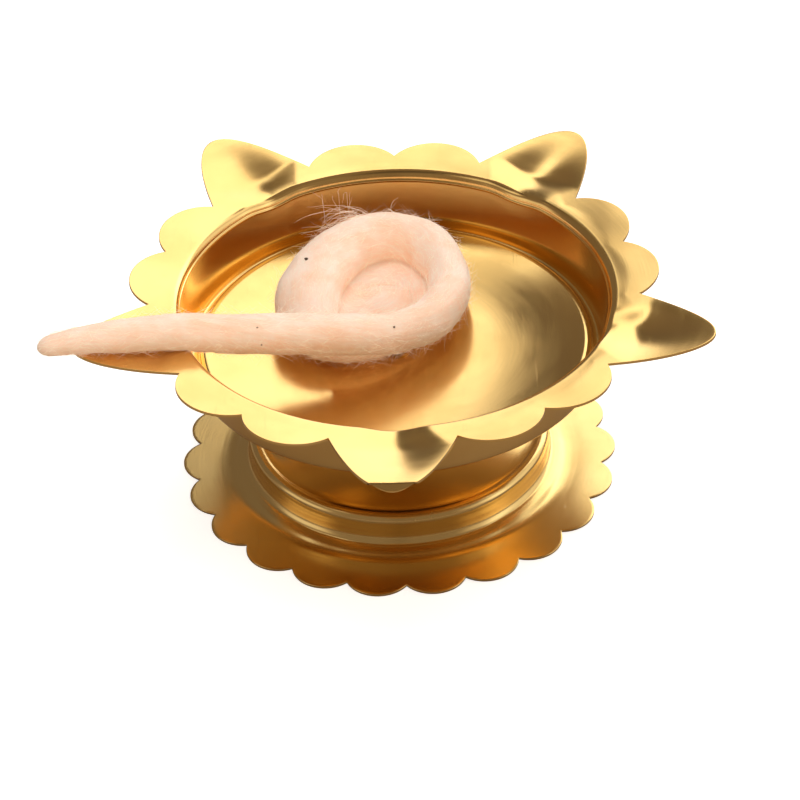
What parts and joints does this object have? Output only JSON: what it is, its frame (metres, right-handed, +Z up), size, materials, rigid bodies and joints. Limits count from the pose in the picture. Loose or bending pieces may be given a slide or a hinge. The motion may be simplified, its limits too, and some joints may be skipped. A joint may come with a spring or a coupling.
{
  "type": "oil lamp",
  "caption": "Small pressed-brass oil lamp: a shallow petal-edged bowl with pointed wick spouts, riveted to a hollow scalloped foot, with a loose cotton wick laid over one spout.",
  "frame": {"origin": "centre of the metal's bounding box on the table; the lamp's turning axis stands at Y = +3.13 mm, because five spouts reach further to the front than to the back", "axes": "+Z up along the lamp's axis, -Y towards the front spout, +X to the right; the bowl is mirror-symmetric about the YZ plane, and the foot's scallops are turned 2 degrees against it"},
  "size_m": [0.07, 0.0642, 0.0263],
  "materials": {
    "polished_brass": "polished pressed sheet, lightly brushed inside the bowl",
    "rivet_brass": "dull, hammered",
    "cotton": "loose rolled cotton fibre"
  },
  "bodies": {
    "lamp": {"bowl": "polished_brass", "foot": "polished_brass", "centre_rivet": "rivet_brass"},
    "wick": {"wick_coil": "cotton", "wick_stem": "cotton"}
  },
  "joints": [
    {"name": "wick_lift", "type": "slide", "parent": "lamp", "child": "wick", "axis": [0, 0, 1], "range_m": [0, 0.03]}
  ]
}
